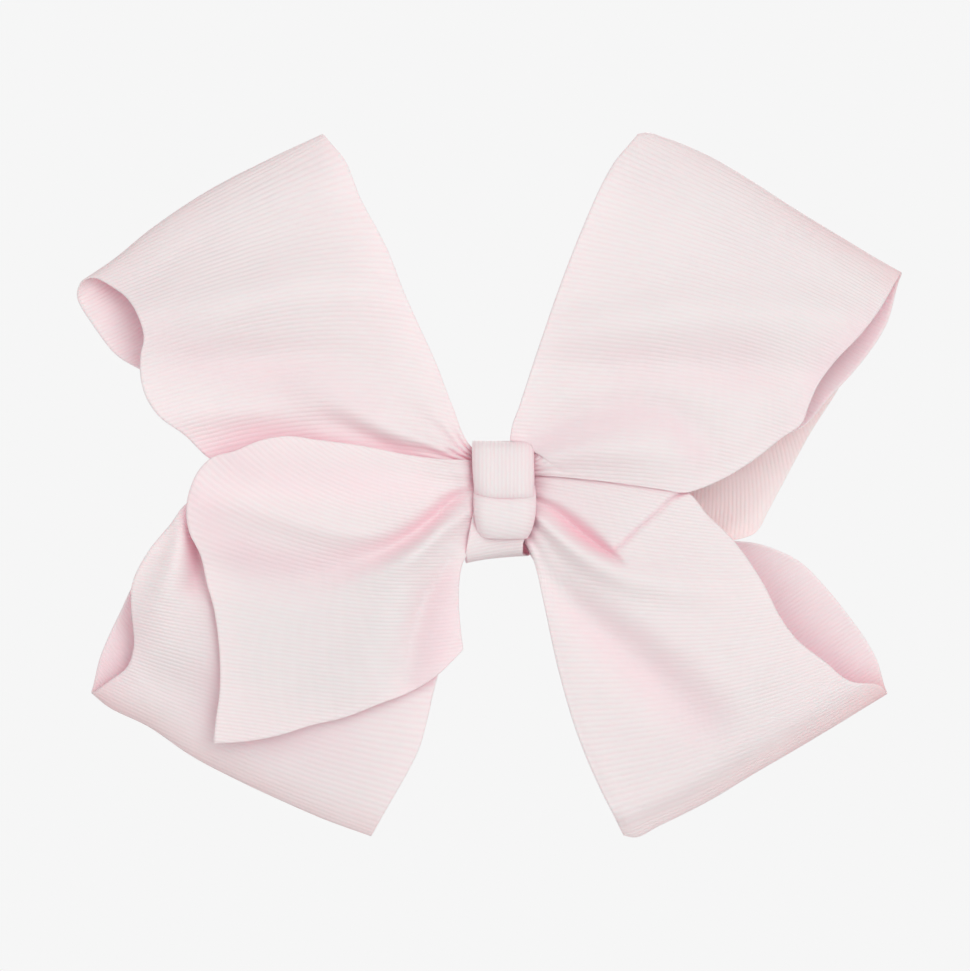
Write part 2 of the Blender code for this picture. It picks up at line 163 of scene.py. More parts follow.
def relief(grid, strokes):
    """How far each point is raised by soft lines. A stroke runs through (x, z, height, width)."""
    lift = np.zeros(grid.shape[:2])
    for stroke in strokes:
        line = spline(stroke, STROKE_STEPS)
        offset = grid[:, :, None, :2] - line[:, :2]
        reach = (offset**2).sum(axis=3)
        nearest = line[reach.argmin(axis=2)]
        lift += nearest[:, :, 2] * np.exp(-reach.min(axis=2) / nearest[:, :, 3] ** 2)
    return lift


def gathers(rows, columns, count, height, reach):
    """Fine pleats that fan out from the waist and die away along the sheet."""
    u = np.linspace(0, 1, rows)[:, None]
    v = np.linspace(0, 1, columns)[None, :]
    fade = np.clip(1 - u / reach, 0, 1) ** 1.5
    return height * fade * np.sin(2 * np.pi * count * v + 0.6 * np.sin(5 * v))


def normals_of(grid):
    """The surface's direction at each point of the grid."""
    normal = np.cross(np.gradient(grid, axis=0), np.gradient(grid, axis=1))
    return normal / np.maximum(np.linalg.norm(normal, axis=2, keepdims=True), TINY)


def rib_field(guides):
    """A smooth function of (x, z) that grows by 1 for each millimetre across the ribs.

    A guide is (x, z, angle): where a rib passes, and its slope above the horizontal.
    """
    degree, scale = 3, 50.0
    slope_weight, smoothing = 3, 0.02
    powers = [(i, k) for i in range(degree + 1) for k in range(degree + 1 - i) if i + k]
    rows, values = [], []
    for x, z, angle in guides:
        along = np.array([math.cos(math.radians(angle)), math.sin(math.radians(angle))])
        across = np.array([-along[1], along[0]])
        if across @ (x, z) < 0:
            across = -across
        a, b = x / scale, z / scale
        slope_x = [i * a ** max(i - 1, 0) * b**k for i, k in powers]
        slope_z = [k * a**i * b ** max(k - 1, 0) for i, k in powers]
        slopes = np.array([slope_x, slope_z])
        rows += [slope_weight * along @ slopes, across @ slopes]
        values += [0.0, scale]
    ridge = smoothing * np.eye(len(powers))
    rows = np.concatenate([np.array(rows), ridge])
    values = np.concatenate([values, np.zeros(len(powers))])
    weights = np.linalg.lstsq(rows, values, rcond=None)[0]

    def field(flat):
        a, b = flat[..., 0] / scale, flat[..., 1] / scale
        return sum(w * a**i * b**k for w, (i, k) in zip(weights, powers))

    return field


# ---------------------------------------------------------------- pieces


def new_object(name, points, faces, look):
    """A mesh object from points given in millimetres as (x, z, d)."""
    mesh = bpy.data.meshes.new(name)
    mesh.from_pydata([(x * MM, -d * MM, z * MM) for x, z, d in points], [], faces)
    mesh.materials.append(look)
    obj = bpy.data.objects.new(name, mesh)
    bpy.context.scene.collection.objects.link(obj)
    return obj


def face_outwards(obj):
    shape = bmesh.new()
    shape.from_mesh(obj.data)
    bmesh.ops.recalc_face_normals(shape, faces=shape.faces)
    shape.to_mesh(obj.data)
    shape.free()


def edge_rim(rows, columns):
    """Grid positions round the sheet's edge, in order."""
    rim = [(i, 0) for i in range(rows)]
    rim += [(rows - 1, j) for j in range(1, columns)]
    rim += [(i, columns - 1) for i in range(rows - 2, -1, -1)]
    rim += [(0, j) for j in range(columns - 2, 0, -1)]
    return rim


def cloth(name, grid, rib, look, thickness=RIBBON_THICKNESS, fold_shade=None, pink_shade=None):
    """A grid of points made into a thin ribbon with rounded selvedges.

    `rib` counts ribs across the grid; it becomes the first UV coordinate, and the second is
    the distance along the ribs. A second UV map holds the two painted shades: each point's
    weight of the deeper pink painted along a fold, and of the pink shade painted along pleats
    and shadowed parts.
    """
    rows, columns = grid.shape[:2]
    normal = normals_of(grid)
    half = thickness / 2
    top, under = grid + normal * half, grid - normal * half
    inward = np.zeros_like(grid)
    inward[0] = grid[1] - grid[0]
    inward[-1] += grid[-2] - grid[-1]
    inward[:, 0] += grid[:, 1] - grid[:, 0]
    inward[:, -1] += grid[:, -2] - grid[:, -1]
    rim = edge_rim(rows, columns)
    lip = []
    for i, j in rim:
        out = -inward[i, j] / max(np.linalg.norm(inward[i, j]), TINY)
        lip.append(grid[i, j] + out * half * LIP_BULGE)
    points = np.concatenate([top.reshape(-1, 3), under.reshape(-1, 3), np.array(lip)])
    size = rows * columns
    index = np.arange(size).reshape(rows, columns)
    ring = np.stack([index[:-1, :-1], index[1:, :-1], index[1:, 1:], index[:-1, 1:]], axis=2)
    ring = ring.reshape(-1, 4)
    faces = ring.tolist() + (ring[:, ::-1] + size).tolist()
    count = len(rim)
    for k, (i, j) in enumerate(rim):
        a = i * columns + j
        after = (k + 1) % count
        b = rim[after][0] * columns + rim[after][1]
        faces.append([a, b, 2 * size + after, 2 * size + k])
        faces.append([2 * size + k, 2 * size + after, b + size, a + size])
    obj = new_object(name, points, faces, look)
    face_outwards(obj)
    obj.data.shade_smooth()

    along = arc_lengths(grid.swapaxes(0, 1)).T
    corners = np.empty(len(obj.data.loops), np.int32)
    obj.data.loops.foreach_get("vertex_index", corners)
    plain = np.zeros((rows, columns))
    tints = [plain if tint is None else tint for tint in (fold_shade, pink_shade)]
    for layer_name, u, v in (("ribs", rib / RIB_PITCH, along), ("tints", *tints)):
        flat = np.stack([u, v], axis=2).reshape(-1, 2)
        lip_uv = np.array([flat[i * columns + j] for i, j in rim])
        values = np.concatenate([flat, flat, lip_uv])
        layer = obj.data.uv_layers.new(name=layer_name)
        layer.data.foreach_set("uv", values[corners].astype(np.float32).ravel())
    return obj


def arc_lengths(grid):
    """Distance along each column of the grid, from its first row."""
    steps = np.linalg.norm(np.diff(grid, axis=0), axis=2)
    return np.concatenate([np.zeros((1, grid.shape[1])), np.cumsum(steps, axis=0)])


def fold_rows(stations, before, after):
    """Rows of points round a fold. A station is (x, z, d, radius, skew x, skew z).

    (x, z) is the fold's outer edge, d its middle depth. The front of the fold is shifted by the
    skew and the back by its opposite, which opens the loop to the viewer. `before` and `after`
    are where the inner selvedge comes from in front and goes to behind: it keeps its direction.
    """
    line = spline(stations, COLUMNS)
    edge = line[:, :2]
    tangent = np.gradient(edge, axis=0)
    outward = np.stack([-tangent[:, 1], tangent[:, 0]], axis=1)
    outward /= np.linalg.norm(outward, axis=1, keepdims=True)
    if (outward * edge).sum() < 0:
        outward = -outward
    reach = line[:, 3:4] * ROLL_REACH
    near_corner = np.clip(1 - np.arange(COLUMNS) / CORNER_COLUMNS, 0, 1)[:, None]
    ways = []
    for point in (before, after):
        way = edge[0] - np.array(point[:2])
        way = way / (way @ outward[0]) - outward[0]
        ways.append(outward + near_corner * way)
    rows = []
    for angle in np.linspace(ROLL_START, math.pi - ROLL_START, ROLL_ROWS):
        way = ways[0] if angle < math.pi / 2 else ways[1]
        flat = edge + line[:, 4:6] * math.cos(angle) - way * reach * (1 - math.sin(angle))
        rows.append(np.column_stack([flat, line[:, 2] + line[:, 3] * math.cos(angle)]))
    return np.array(rows)


def ease_rows(grid, row, reach):
    """Round off the seam where two stretches of the grid meet at `row`."""
    low, high = row - reach, row + reach
    fade = 0.5 * (1 - np.abs(np.linspace(-1, 1, high - low))[:, None, None])
    for _ in range(EASE_PASSES):
        middle = (grid[low - 1:high - 1] + grid[low + 1:high + 1]) / 2
        grid[low:high] += fade * (middle - grid[low:high])


def ribbon_loop(name, shape, look):
    """A loop of wide ribbon: a front layer out to the fold, and a back layer home again."""
    roll = fold_rows(shape["fold"], shape["front_inner"][-1], shape["back_inner"][-1])
    field = rib_field(shape["ribs"])
    layers = []
    for side, far, rows in (("front", roll[0], FRONT_ROWS), ("back", roll[-1], BACK_ROWS)):
        inner = spline([*shape[side + "_inner"], far[0]], rows)
        outer = spline([*shape[side + "_outer"], far[-1]], rows)
        near = np.linspace(inner[0], outer[0], COLUMNS)
        sheet = patch(inner, outer, near, far, shape[side + "_belly"])
        lift = relief(sheet, shape.get(side + "_strokes", []))
        lift += gathers(rows, COLUMNS, *shape["gathers"])
        out = np.linspace(0, 1, rows)[:, None]
        hold = np.clip((1 - out) / FOLD_FADE, 0, 1)
        start = np.clip(out / WAIST_FADE, 0, 1)
        sheet[:, :, 2] += lift * hold * start
        layers.append(sheet)
    grid = np.concatenate([layers[0], roll[1:-1], layers[1][::-1]])
    last = FRONT_ROWS - 1
    ease_rows(grid, last, EASE_REACH)
    ease_rows(grid, last + ROLL_ROWS - 1, EASE_REACH)
    rib = field(grid)
    length = arc_lengths(grid)
    rib[last:] = rib[last] + (length - length[last])[last:]
    # Painted shade: a deeper pink towards the middle of the fold, its strength running from the inner to the
    # outer selvedge, and a pink shade painted along the strokes given for it.
    from_fold = length - length[last + ROLL_ROWS // 2]
    fold_shade = np.exp(-(from_fold / FOLD_SHADE_REACH) ** 2) * np.linspace(*shape["fold_shade"], COLUMNS)
    return cloth(name, grid, rib, look, fold_shade=fold_shade, pink_shade=relief(grid, shape["pink_shade"]))


def ribbon_tail(name, shape, look, rows):
    """A tail of wide ribbon from the waist to its slanting cut end."""
    end = spline(shape["end"], COLUMNS)
    inner = spline([*shape["inner"], end[0]], rows)
    outer = spline([*shape["outer"], end[-1]], rows)
    near = np.linspace(inner[0], outer[0], COLUMNS)
    grid = patch(inner, outer, near, end, shape["belly"])
    lift = relief(grid, shape["strokes"]) + gathers(rows, COLUMNS, *shape["gathers"])
    start = np.clip(np.linspace(0, 1, rows) / WAIST_FADE, 0, 1)[:, None]
    grid[:, :, 2] += lift * start
    rib = rib_field(shape["ribs"])(grid)
    # A pink shade is painted along the tail's own strokes.
    return cloth(name, grid, rib, look, pink_shade=relief(grid, shape["pink_shade"]))


# ---------------------------------------------------------------- shapes of the ribbon

# Selvedges run from the waist outwards: the inner one is the nearer to the bow's upright
# middle line. "fold" holds stations, "strokes" hold (x, z, height, width), and "ribs" hold
# (x, z, angle). "gathers" is a count, a height and how far they reach. "fold_shade" is the
# strength of the shade painted along the fold at its inner and outer end, and a "pink_shade"
# stroke paints pink shade, its height being its strength.

UPPER_LEFT = {
    "front_inner": [(-START, 9.6, 13.4), (-9.2, 14.3, 15.4), (-13, 23.2, 16.2), (-17.3, 34.4, 16.8),
                    (-25, 51.5, 17.2), (-30.1, 64.3, 16.8), (-36.8, 77, 15), (-41.0, 87, 12)],
    "front_outer": [(-START, 7.0, 13.8), (-12, 7.6, 15.8), (-30, 8.5, 16.6), (-56, 9.5, 16.0),
                    (-74.5, 10.5, 14.5), (-81.1, 16.6, 16), (-87.8, 21.7, 17.6), (-90.8, 26.3, 18.6),
                    (-92.1, 30.6, 18.8), (-92.3, 36.7, 18.2), (-91.4, 41.5, 17.8), (-92.9, 46.9, 16.8),
                    (-95.6, 51.2, 14.6)],
    "back_inner": [(-START, 9.8, 10.6), (-9.6, 13.5, 10.4), (-14, 23, 9), (-26, 51, 5), (-38, 77, 3)],
    "back_outer": [(-START, 8.0, 10.4), (-12, 10.5, 10.2), (-40, 19, 9.4), (-70, 27, 8.6), (-92.3, 33.2, 8),
                   (-98.7, 37, 7.4), (-103.6, 42.9, 6.6), (-106.9, 47.7, 5.8)],
    "fold": [(-46.2, 93.3, 7.5, 2.0, 0, 0), (-59.7, 87, 7.2, 2.8, 0, 0), (-75, 79.1, 7, 3.0, 0, 0),
             (-90.3, 68.9, 7, 3.2, 0.4, 0.3), (-100, 61.0, 7.2, 3.2, 2.0, 1.6),
             (-107.4, 56.0, 7.4, 3.2, 3.8, 2.9)],
    "front_belly": 2.0,
    "back_belly": -2.5,
    "gathers": (6, 0.42, 0.3),
    "fold_shade": (0.25, 0.35),
    "pink_shade": [[(-88, 42, 0.35, 6), (-70, 33, 0.45, 6), (-50, 30, 0.5, 6), (-34, 24, 0.4, 5)]],
    "front_strokes": [
        [(-98, 58, -0.7, 7), (-70, 65, -2.5, 8), (-45, 69, -2.2, 8), (-33, 68, -0.7, 7)],
        [(-93, 46, 1.4, 5), (-65, 51, 2.4, 6), (-40, 53.5, 2.0, 6), (-26, 51, 0.8, 5)],
        [(-92, 34, -1.4, 5), (-70, 36, -2.8, 5), (-50, 37, -2.4, 5), (-34, 36, -0.9, 5)],
        [(-86, 21, 1.0, 4), (-65, 22.5, 1.6, 4), (-50, 22, 1.0, 4)],
        [(-62, 24, 0, 4), (-42, 19.5, -1.2, 3), (-27, 13.4, -1.5, 2.4), (-13, 11.4, -0.5, 1.3)],
        [(-58, 36, 0.3, 6), (-45, 27, 1.0, 5), (-31, 18.5, 1.4, 3), (-16, 13.2, 0.6, 1.6)],
        [(-28, 27, 0, 4), (-22, 21, -0.9, 2.5), (-12, 14.5, -0.6, 1.4)],
    ],
    "ribs": [(-46, 91, 29), (-60, 85, 30), (-76, 76.5, 33), (-92, 65, 37), (-70, 60, 15), (-45, 60, 6),
             (-90, 45, 8), (-60, 40, 3), (-35, 45, -2), (-25, 45, -6), (-75, 28, 4), (-45, 25, 4),
             (-77, 15, 25), (-20, 28, -12), (-14, 20, -18)],
}

UPPER_RIGHT = {
    "front_inner": [(START, 11.4, 14.8), (7.9, 11.6, 17.0), (8.7, 12.7, 17.4), (7.6, 14.0, 17.4),
                    (4.6, 14.4, 17.2), (1.9, 14.9, 17.2), (2.0, 17.6, 17.5), (4.1, 24.0, 18.0),
                    (9.2, 39.5, 18.5), (15.1, 56.4, 18.8), (20.9, 71.0, 17.6), (25.4, 81.0, 15.5),
                    (28.4, 86.3, 12.4)],
    "front_outer": [(START, 6.2, 15.4), (8.0, 6.4, 17.0), (10.5, 6.3, 17.8), (18.1, 5.6, 18.1),
                    (29.6, 4.3, 18.4), (39.8, 2.8, 18.8),
                    (46.4, 2, 18.9), (50, 3.1, 19), (56.6, 6.1, 19), (62, 9.4, 19), (65.8, 12.2, 19.1),
                    (70.7, 16.1, 19.2), (75.5, 19.6, 19.2), (77.3, 24.2, 19), (79.6, 29.3, 18.8),
                    (83.2, 34.4, 18.2), (91.3, 43.1, 16), (96.0, 49.4, 13.5)],
    "back_inner": [(START, 10.4, 12.2), (7, 22, 10), (14, 50, 5), (26, 80, 3)],
    "back_outer": [(START, 8, 12.0), (12, 10.5, 11.8), (30, 14, 11.2), (52, 16, 11), (76.5, 19.1, 10.6),
                   (82.9, 26.3, 10.4), (87.5, 31.1, 10.2), (92.6, 37.2, 9.6), (97.7, 45.4, 8.2)],
    "fold": [(34.2, 93.3, 7.4, 1.9, 0, 0), (36.4, 93.6, 7.2, 2.1, 0, 0), (40.8, 92.4, 7, 2.4, 0, 0),
             (52.6, 87.5, 7, 2.8, 0, 0),
             (63.5, 81.1, 7, 3, 0, 0), (74.5, 74, 7, 3, 0, 0), (85.5, 67.3, 7, 3, 0, 0),
             (96.4, 60.7, 8.2, 2.6, 0, 0), (101.3, 57.9, 9, 2.2, -0.3, 0.3)],
    "front_belly": 2.0,
    "back_belly": -2.0,
    "gathers": (5, 0.18, 0.26),
    "fold_shade": (0.2, 0.75),
    "pink_shade": [
        [(7, 13, 0.8, 3), (17, 17, 0.8, 4.5), (30, 21, 0.7, 5), (42, 19.5, 0.7, 4.5), (49, 12, 0.5, 4)],
        [(76, 22, 0.3, 5), (82, 33, 0.6, 5.5), (92, 43, 0.7, 5.5)],
        [(30, 34, 0.25, 6), (60, 34, 0.35, 7)],
    ],
    "front_strokes": [
        [(8, 42, 0.8, 5), (24, 44.5, 2.2, 6), (44, 47, 3.0, 6.5), (64, 47.5, 3.0, 6.5), (90, 46, 1.4, 5)],
        [(8, 33, -0.9, 5), (24, 33.5, -2.3, 5.5), (44, 34, -3.1, 6), (62, 33.5, -3.0, 6), (82, 33, -1.3, 5)],
        [(8, 9.5, 1.1, 1.8), (18, 11.8, 2.4, 3.4), (31, 13.0, 2.8, 4.6), (44, 11.5, 1.5, 5), (54, 10, 0, 4)],
        [(7, 16.5, -0.8, 2.5), (16, 21.5, -1.7, 3.4), (30, 24.5, -2.0, 4), (43, 22.5, -1.6, 4),
         (51, 16, -0.7, 4), (55, 8, -0.3, 4)],
        [(50, 4, -0.6, 3), (62, 10.5, -1.2, 4), (74, 20, -1.4, 4.5), (79, 30, -1.0, 4)],
    ],
    "ribs": [(20, 65, -9), (15, 45, -9), (35, 88, -27), (60, 80, -31), (90, 61, -32), (60, 60, -20),
             (45, 70, -20), (80, 50, -24), (50, 45, -12), (30, 45, -8), (15, 28, -2), (40, 28, -1),
             (65, 28, -8), (60, 18, -18), (30, 14, -4), (80, 38, -24)],
}

LOWER_LEFT = {
    "front_inner": [(-START, -11.0, 11.0), (-9.4, -12.8, 11.8), (-13, -25, 13.6), (-16.8, -43.9, 14.8),
                    (-17.9, -48, 15.0), (-19.6, -55.4, 15.0), (-21.7, -63, 14.4), (-25.8, -71.2, 12.6),
                    (-30.4, -79.2, 9.8)],
    "front_outer": [(-START, 0.5, 11.0), (-20, 1.2, 11.4), (-40, 2, 12.4), (-70, 1, 14.4), (-80.6, -1, 15.4),
                    (-84.9, -6.4, 15.6), (-90.8, -13.8, 15.4), (-94.6, -21.9, 14.6), (-94.8, -27.8, 13.6),
                    (-94.4, -32.1, 12.6), (-94.2, -37, 11.4), (-96.2, -43, 10)],
    "back_inner": [(-START, -11.4, 8.4), (-9.6, -14.0, 8.0), (-14, -28, 6), (-20, -55, 3), (-28, -75, 2)],
    "back_outer": [(-START, -2.0, 8.4), (-40, -5, 6.5), (-75, -9, 7), (-94.6, -21.9, 6.8),
                   (-97.7, -28.3, 6.2), (-101, -35.2, 5.4), (-103.8, -42.3, 4.4)],
    "fold": [(-34.0, -85.7, 5.6, 1.9, 0, 0), (-45.9, -81.4, 5.6, 2.6, 0, 0), (-57.1, -76.5, 5.8, 2.8, 0, 0),
             (-68.4, -71.2, 6, 3, 0, 0), (-79.6, -65.3, 6, 3, 0, 0), (-90.8, -57.7, 6, 3, 0.3, 0.2),
             (-102.0, -51.8, 6, 2.8, 1.4, 0.6), (-104.8, -49.2, 6, 2.6, 2.0, 0.8)],
    "front_belly": 0.6,
    "back_belly": -1.5,
    "gathers": (6, 0.6, 0.32),
    "fold_shade": (0.6, 0.8),
    "pink_shade": [[(-101, -42, 0.8, 7), (-94, -32, 0.3, 6)], [(-70, -52, 0.6, 10), (-45, -62, 0.5, 9)]],
    "front_strokes": [
        [(-81.5, -1, 1.0, 2.4), (-82.6, -12, 2.4, 3.0), (-85, -20, 2.6, 4), (-87.5, -28, 1.8, 5),
         (-87, -35, 0.8, 5)],
        [(-76, -2, -1.6, 2.2), (-77.5, -12, -3.2, 2.8), (-77.5, -20, -2.6, 3.4), (-79, -26, 0, 4)],
        [(-88, -47, -1.6, 6), (-76, -50, -1.4, 7), (-60, -58, -0.6, 6)],
    ],
    "ribs": [(-35, -84, -24), (-57, -74, -26), (-80, -62, -30), (-100, -50, -32), (-30, -65, -10),
             (-22, -55, -4), (-60, -62, -16), (-85, -45, -12), (-88, -25, -6), (-50, -30, 0), (-25, -25, 3)],
}

LOWER_RIGHT = {
    "front_inner": [(START, -9.6, 13.6), (6.9, -13.3, 14.8), (8.4, -17.9, 15.2), (9.9, -24.5, 15.4),
                    (14.3, -44.4, 16), (19.4, -61.2, 15.6), (25.1, -74.5, 13), (28.4, -81, 10.8)],
    "front_outer": [(START, 6.6, 13.6), (8, 8.0, 15.6), (10.5, 8.2, 16.5), (18, 8.0, 16.9), (29, 6.4, 17.4),
                    (39, 4.0, 18.0), (46.4, 2, 18.3), (51.8, -4.1, 18.1), (57.7, -9.9, 17.8),
                    (61.2, -14.3, 17.8), (66.3, -22.4, 18.2), (69.9, -29.6, 18.2), (73.7, -34.9, 17.6),
                    (81.6, -41.3, 15.2), (88, -46.2, 12.6)],
    "back_inner": [(START, -10, 8.4), (9, -18, 7), (15, -44, 4), (25, -72, 2.5)],
    "back_outer": [(START, -2.0, 8.4), (25, -5, 8.6), (40, -8, 8.8), (58.4, -10.5, 8.8), (63.5, -11, 8.8),
                   (69.4, -12.8, 8.6), (75.3, -15.8, 8.2), (81.6, -21.9, 7.2), (87.5, -29.1, 6.2),
                   (92.6, -36.2, 5.2), (96.2, -43.4, 4.2)],
    "fold": [(30.6, -85.5, 6, 1.9, 0, 0), (33.2, -86.0, 6, 2.1, 0, 0), (39.3, -83.2, 6, 2.5, 0, 0),
             (52.6, -76.5, 6.3, 2.8, 0, 0), (63.5, -69.9, 6.5, 3, 0, 0), (74.5, -63.5, 6.5, 3, 0, 0),
             (85.5, -56.9, 6.5, 3, 0, 0),
             (97.7, -49.4, 6.5, 2.6, -0.6, 0.2)],
    "front_belly": 1.5,
    "back_belly": -2.0,
    "gathers": (5, 0.38, 0.26),
    "fold_shade": (0.3, 1.1),
    "pink_shade": [[(10, 2, 0.5, 4), (24, -3, 0.3, 4)], [(20, -28, 0.4, 5), (34, -40, 0.7, 7), (50, -54, 0.7, 8)]],
    "front_strokes": [
        [(7, 0.8, -0.9, 1.0), (12.5, -2.2, -2.7, 1.5), (18.6, -7.4, -4.3, 2.1), (23.6, -11.4, -4.2, 1.8),
         (28, -14.6, -2.6, 1.2), (31, -16.6, 0, 0.9)],
        [(8, -4.2, 1.4, 1.5), (13, -8.6, 2.6, 2.2), (20, -14.0, 3.3, 2.9), (31, -19.4, 3.4, 3.8),
         (45, -22.0, 2.4, 5), (62, -24, 0.8, 6)],
        [(9, -17, -0.6, 3), (20, -28, -3.2, 5), (34, -40, -4.4, 6.5), (47, -52, -3.4, 7), (58, -62, 0, 6)],
        [(20, -22, 0.6, 4), (34, -31, 1.6, 6), (48, -42, 1.6, 7), (62, -54, 0.4, 6)],
        [(47, 2.6, -1.1, 0.7), (42.6, 0.5, -1.2, 0.7), (38.8, -3.1, -1.2, 0.7), (33.9, -7.4, -1.2, 0.7),
         (30.6, -10.7, -1.2, 0.7), (27.6, -13.3, -0.8, 0.7)],
    ],
    "ribs": [(33, -84, 24), (52, -74, 30), (75, -61, 31), (95, -50, 33), (15, -50, 2), (30, -62, 6),
             (25, -28, -4), (45, -28, -4), (60, -30, 1), (74, -40, 12), (14, -30, -3), (11, -16, -6),
             (45, -50, 6), (30, -5, -8), (50, -8, -7), (12, -6, -12)],
}

LEFT_TAIL = {
    "inner": [(-START, -10.2, 15.0), (-8.4, -12.6, 15.7), (-10.4, -15.4, 16.8), (-11.5, -20.4, 17.8),
              (-11.7, -26, 18.2), (-11.2, -32.7, 18.8)],
    "outer": [(-START, 8.8, 15.2), (-7.8, 9.8, 16.9), (-9.6, 10.0, 18.2), (-15.3, 10.2, 18.8),
              (-23.2, 11.2, 19.4), (-36.7, 13.8, 21.6), (-46.7, 15.1, 23.2), (-55.6, 16.1, 24.0),
              (-62, 14.9, 24.2),
              (-68, 12.4, 23.8), (-74.2, 10.5, 22.8), (-77.5, 7.1, 22.0), (-79.3, 3.3, 21.2),
              (-80.4, -1.3, 20.8), (-79.9, -7.7, 20.3), (-77, -14, 20), (-75.3, -21.4, 19.6),
              (-73.7, -27, 19.0), (-72.4, -35.7, 18.4), (-72.2, -49.5, 17.4), (-73.2, -56.5, 17.0)],
    "end": [(-10.5, -38.0, 18.4), (-17.1, -44.4, 18.2), (-23.7, -48.5, 18.0), (-32.1, -51.8, 17.8),
            (-40.6, -55.1, 17.6), (-49, -57.1, 17.2), (-57.4, -59.7, 16.8), (-65.8, -61.2, 16.6),
            (-73.7, -61.7, 16.6)],
    "belly": 1.0,
    "gathers": (5, 0.35, 0.24),
    "pink_shade": [
        [(-78, 0, 0.6, 6), (-70, -12, 0.9, 6), (-56, -16, 1.0, 5), (-42, -16, 0.9, 4.5),
         (-30, -12, 0.5, 3.5)],
        [(-66, 9, 0.6, 7), (-40, 5, 0.6, 6), (-22, 3, 0.5, 4)],
        [(-14, -20, 0.7, 4), (-17, -34, 1.0, 6), (-20, -46, 0.9, 6)],
    ],
    "strokes": [
        [(-7, 3.0, -0.6, 1.2), (-12, 0.8, -2.4, 1.8), (-17, -3.4, -3.4, 2.1), (-22, -7.8, -3.8, 2.6),
         (-28, -11.4, -3.9, 3.0), (-36, -14.6, -2.8, 3.6), (-46, -17.4, -0.8, 4)],
        [(-9, -3.4, 1.2, 1.6), (-15, -7.0, 2.2, 2.2), (-22, -13.0, 2.8, 2.8), (-31, -18.4, 2.0, 4),
         (-44, -21.5, 0, 4)],
        [(-76, 1.0, 1.2, 3.6), (-62, -2.5, 2.2, 4), (-48, -6.4, 2.2, 3.8), (-36, -8.8, 1.6, 2.8),
         (-28, -8.2, 0.3, 2)],
        [(-78, -18, -1.4, 5.5), (-66, -19.5, -2.3, 6), (-52, -20, -2.5, 6), (-42, -18.5, -1.3, 4.5)],
        [(-14, -15, -1.2, 2.4), (-19, -23, -2.4, 3.0), (-22.5, -33, -2.6, 3.4), (-25, -45, -1.6, 3.8)],
        [(-24, -17, 0.8, 4), (-31, -32, 1.4, 5), (-36, -46, 1.0, 6)],
    ],
    "ribs": [(-65, -45, -8), (-50, -35, -7), (-60, -25, -7), (-35, -40, -4), (-26, -30, 0), (-15, -30, 8),
             (-12, -20, 8), (-12, -8, 0), (-70, 5, -38), (-50, 8, -30), (-30, 4, -22), (-72, -10, -22),
             (-35, -15, -6), (-40, -55, -6), (-70, -58, -8)],
}

RIGHT_TAIL = {
    "inner": [(START, -7.5, 6.0), (9, -8.5, 5.7), (30, -10.5, 4.7), (52, -10.6, 3.6)],
    "outer": [(START, 6.0, 6.0), (9, 10, 5.8), (30, 27, 4.9), (60, 41, 2.0), (80, 45, 0.6)],
    "end": [(57.4, -10.2, 3.4), (61.5, -9.6, 2.7), (63.8, -8.7, 2.3), (65.3, -7.1, 2.1), (67.1, -3.6, 1.8),
            (70.7, 3.1, 1.2), (78.6, 17.6, 0.3), (85.7, 28.8, -0.2), (92, 42.5, -0.4)],
    "belly": -0.6,
    "gathers": (9, 1.3, 1.0),
    "pink_shade": [],
    "strokes": [
        [(58, -8, 0.8, 3), (64, -4, 0.5, 4), (70, 6, 0.2, 5)],
    ],
    "ribs": [(70, 4, 100), (80, 20, 112), (62, -6, 84), (60, 5, 92), (50, 10, 92), (30, 5, 90), (65, 25, 112),
             (45, -6, 84), (88, 34, 118)],
}


# ---------------------------------------------------------------- materials


def new_material(name):
    look = bpy.data.materials.new(name)
    look.use_nodes = True
    tree = look.node_tree
    return look, tree.nodes, tree.links, tree.nodes["Principled BSDF"]


def feed(links, socket, value):
    """Link a socket to another, or set it to a plain value."""
    if isinstance(value, bpy.types.NodeSocket):
        links.new(value, socket)
    else:
        socket.default_value = value


def math_node(nodes, links, operation, *values):
    node = nodes.new("ShaderNodeMath")
    node.operation = operation
    for socket, value in zip(node.inputs, values):
        feed(links, socket, value)
    return node.outputs[0]


def noise(nodes, links, place, scale, detail=2.0, dimensions="3D"):
    node = nodes.new("ShaderNodeTexNoise")
    node.noise_dimensions = dimensions
    node.inputs["Scale"].default_value = scale
    node.inputs["Detail"].default_value = detail
    if place is not None:
        links.new(place, node.inputs["Vector"])
    return node.outputs["Fac"]


def blend(nodes, links, factor, first, second):
    """A mix of two colours, each given as a colour or as a socket."""
    node = nodes.new("ShaderNodeMix")
    node.data_type = "RGBA"
    for socket, value in (("Factor", factor), ("A", first), ("B", second)):
        feed(links, node.inputs[socket], value)
    return node.outputs["Result"]


def add_bump(nodes, links, shader, height, distance, strength=1.0):
    bump = nodes.new("ShaderNodeBump")
    bump.inputs["Strength"].default_value = strength
    bump.inputs["Distance"].default_value = distance
    links.new(height, bump.inputs["Height"])
    links.new(bump.outputs[0], shader.inputs["Normal"])


def object_place(nodes):
    return nodes.new("ShaderNodeTexCoord").outputs["Object"]


def uv_place(nodes, links, layer):
    """A UV map's vector, then its two coordinates one by one."""
    uv = nodes.new("ShaderNodeUVMap")
    uv.uv_map = layer
    split = nodes.new("ShaderNodeSeparateXYZ")
    links.new(uv.outputs[0], split.inputs[0])
    return uv.outputs[0], split.outputs["X"], split.outputs["Y"]


